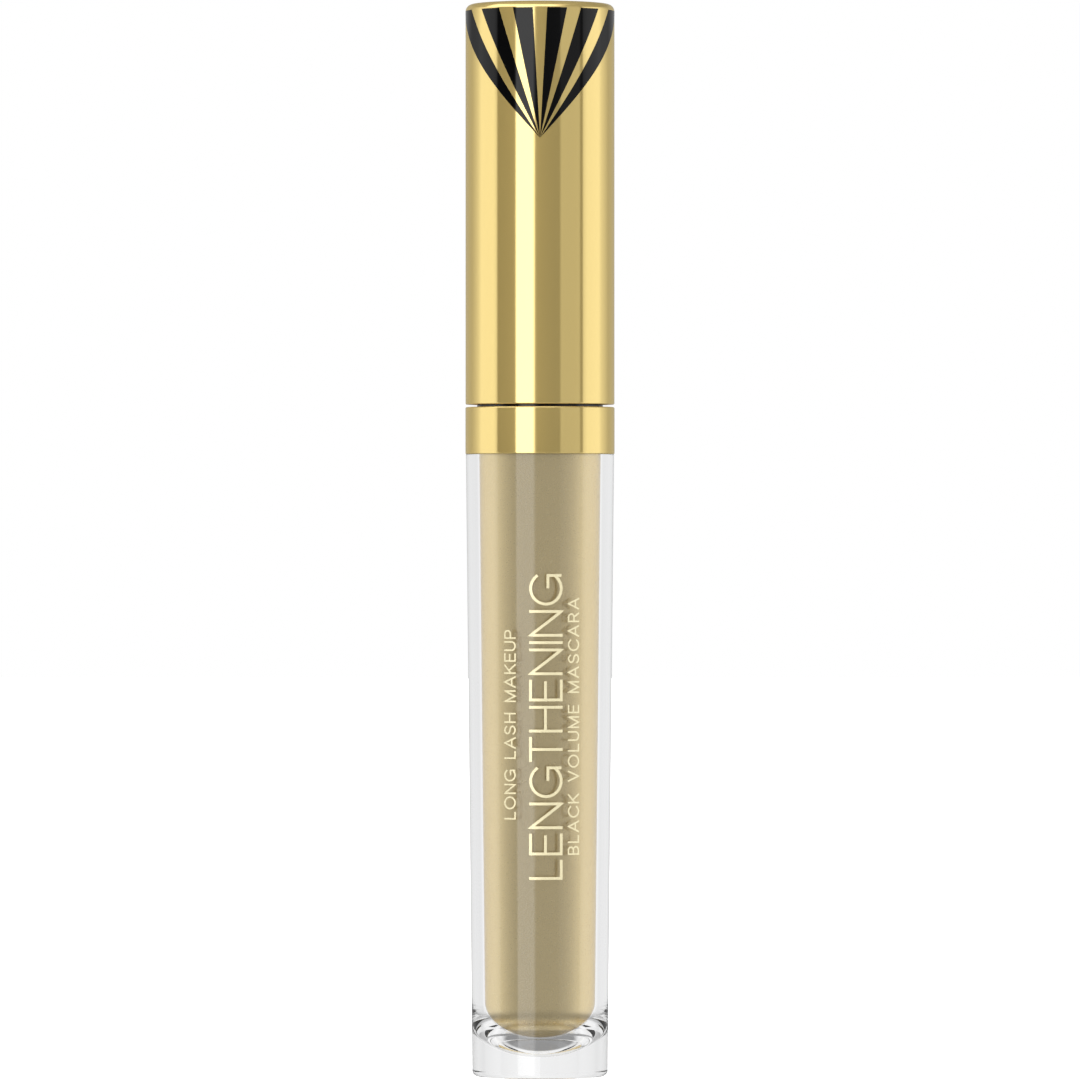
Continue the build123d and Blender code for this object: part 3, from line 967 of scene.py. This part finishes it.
# ---- Stage ---------------------------------------------------------------------------

# Brightness of the studio round the tube by azimuth in degrees, 0 towards the camera and
# positive to its right: tall soft lights with dark gaps between them.
STUDIO = (
    (-180, 0.45), (-150, 0.42), (-131, 0.37), (-120, 0.55), (-111, 0.78), (-104, 1.12), (-76, 1.10),
    (-71, 0.81), (-68.5, 0.04), (-63, 0.06), (-41.5, 0.05), (-38.5, 0.25), (-36.5, 2.5), (-11, 2.5),
    (-7, 0.4), (-5, 0.10), (2, 0.12), (30.5, 0.19), (33, 0.52), (63.5, 0.53), (66, 0.20), (69, 0.20),
    (71, 0.85), (78, 1.14), (104, 1.20), (111, 0.86), (120, 0.66), (131, 0.41), (150, 0.45), (180, 0.45),
)
# What reaches the vial and the walls through the clear shell: the same studio, evened out.
THROUGH = (
    (-180, 0.93), (-150, 0.86), (-135, 0.80), (-125, 0.92), (-90, 0.92), (-66, 0.58), (-45, 0.43),
    (42, 0.43), (64, 0.58), (88, 0.92), (125, 0.92), (135, 0.80), (150, 0.87), (180, 1.0),
)


class MASCARA_OT_stage(Operator):
    """Stage: a plain white floor, a soft studio all round and the camera"""

    bl_idname = "mascara.stage"
    bl_label = "Stage"

    def execute(self, context):
        stage = context.scene.tube_stage
        self.make_studio(context)
        self.make_floor(stage)
        data = bpy.data.cameras.new("camera")
        data.lens = data.sensor_width / 2 / (stage.view_height / 2 / stage.camera_distance)
        camera = bpy.data.objects.new("camera", data)
        camera.location = (0, -stage.camera_distance, CAP_HIGH.z / 2)
        camera.rotation_euler = (math.pi / 2, 0, 0)
        context.scene.collection.objects.link(camera)
        context.scene.camera = camera
        # Enough bounces for the light that runs round inside the clear base.
        paths = context.scene.cycles
        paths.glossy_bounces = 16
        paths.transmission_bounces = 16
        paths.max_bounces = 24
        context.scene.view_settings.view_transform = "Standard"
        return {"FINISHED"}

    def make_floor(self, stage):
        half = stage.floor_size / 2
        corners = [(-half, -half, 0), (half, -half, 0), (half, half, 0), (-half, half, 0)]
        mesh = bpy.data.meshes.new("floor")
        mesh.from_pydata([(x, y, -0.01 * MM) for x, y, z in corners], [], [(0, 1, 2, 3)])
        material, nodes, shader, links = finish("floor_white")
        set_inputs(
            shader, Base_Color=(0.8, 0.8, 0.8, 1), Roughness=0.9,
            Emission_Color=(1, 1, 1, 1), Emission_Strength=1.0,
        )
        mesh.materials.append(material)
        floor = bpy.data.objects.new("floor", mesh)
        bpy.context.scene.collection.objects.link(floor)
        floor.visible_glossy = False
        floor.visible_diffuse = False
        floor.visible_transmission = False

    def make_studio(self, context):
        """World whose light depends on the direction: white to the eye, soft lights to the tube."""
        world = bpy.data.worlds.new("studio")
        context.scene.world = world
        world.use_nodes = True
        nodes, links = world.node_tree.nodes, world.node_tree.links
        background = nodes["Background"]
        background.inputs["Color"].default_value = (1, 1, 1, 1)

        def maths(operation, first, second=None):
            node = nodes.new("ShaderNodeMath")
            node.operation = operation
            for socket, value in zip(node.inputs, (first, second)):
                if isinstance(value, (int, float)):
                    socket.default_value = value
                elif value is not None:
                    links.new(value, socket)
            return node.outputs[0]

        def by_azimuth(values, scale=0.4):
            curve = nodes.new("ShaderNodeFloatCurve")
            points = curve.mapping.curves[0].points
            for index, (degrees, value) in enumerate(values):
                spot = (degrees / 360 + 0.5, value * scale)
                if index < 2:
                    points[index].location = spot
                else:
                    points.new(*spot)
            for point in points:
                point.handle_type = "VECTOR"
            curve.mapping.update()
            links.new(around, curve.inputs["Value"])
            return maths("DIVIDE", curve.outputs["Value"], scale)

        def ramp(value, start, end):
            """0 up to start, 1 from end."""
            rise = nodes.new("ShaderNodeMapRange")
            for name, limit in (("From Min", start), ("From Max", end)):
                rise.inputs[name].default_value = limit
            links.new(value, rise.inputs["Value"])
            return rise.outputs["Result"]

        def mixed(first, second, factor):
            return maths(
                "ADD",
                maths("MULTIPLY", first, maths("SUBTRACT", 1.0, factor)),
                maths("MULTIPLY", second, factor),
            )

        place = nodes.new("ShaderNodeTexCoord")
        split = nodes.new("ShaderNodeSeparateXYZ")
        links.new(place.outputs["Generated"], split.inputs[0])
        x, y, z = split.outputs
        azimuth = maths("ARCTAN2", x, maths("MULTIPLY", y, -1.0))
        around = maths("MULTIPLY_ADD", azimuth, 1 / FULL_TURN)
        around.node.inputs[2].default_value = 0.5
        rays = nodes.new("ShaderNodeLightPath")
        # A wide soft light hangs over the front left; the top and the floor are dimmer.
        above = maths("MULTIPLY", ramp(y, 0.2, 0.0), ramp(x, 0.6, 0.3))
        direct = mixed(by_azimuth(STUDIO), mixed(0.3, 1.9, above), ramp(z, 0.30, 0.40))
        direct = mixed(mixed(direct, 0.35, ramp(z, 0.76, 0.84)), 0.6, ramp(z, -0.5, -0.7))
        through = mixed(by_azimuth(THROUGH), 0.85, ramp(z, 0.42, 0.62))
        through = mixed(through, 0.3, ramp(z, -0.45, -0.62))
        light = mixed(direct, through, rays.outputs["Is Transmission Ray"])
        light = mixed(light, 1.15, rays.outputs["Is Diffuse Ray"])
        light = mixed(light, 1.0, rays.outputs["Is Camera Ray"])
        links.new(light, background.inputs["Strength"])


class MASCARA_PT_panel(Panel):
    """Buttons for each piece, in the order that they are built"""

    bl_idname = "MASCARA_PT_panel"
    bl_label = "Mascara Tube"
    bl_space_type = "VIEW_3D"
    bl_region_type = "UI"
    bl_category = "Mascara Tube"

    def draw(self, context):
        for operator in OPERATORS:
            self.layout.operator(operator.bl_idname)
        for name in GROUPS:
            group = getattr(context.scene, name)
            for key in group.__annotations__:
                self.layout.prop(group, key)


GROUPS = {
    "tube_sizes": TubeSizes,
    "tube_brush": BrushSettings,
    "tube_sunburst": SunburstSettings,
    "tube_print": PrintSettings,
    "tube_colours": FinishColours,
    "tube_stage": StageSettings,
}
OPERATORS = (
    MASCARA_OT_stage,
    MASCARA_OT_cap,
    MASCARA_OT_sunburst,
    MASCARA_OT_collar,
    MASCARA_OT_clear_shell,
    MASCARA_OT_vial,
    MASCARA_OT_inside,
    MASCARA_OT_wand,
    MASCARA_OT_bristles,
    MASCARA_OT_print,
)


def register():
    for name, group in GROUPS.items():
        bpy.utils.register_class(group)
        setattr(bpy.types.Scene, name, PointerProperty(type=group))
    for cls in (*OPERATORS, MASCARA_PT_panel):
        bpy.utils.register_class(cls)


def unregister():
    for cls in (MASCARA_PT_panel, *reversed(OPERATORS)):
        bpy.utils.unregister_class(cls)
    for name, group in reversed(GROUPS.items()):
        delattr(bpy.types.Scene, name)
        bpy.utils.unregister_class(group)


def main():
    register()
    for operator in OPERATORS:
        group, name = operator.bl_idname.split(".")
        getattr(getattr(bpy.ops, group), name)()


if __name__ == "__main__":
    main()
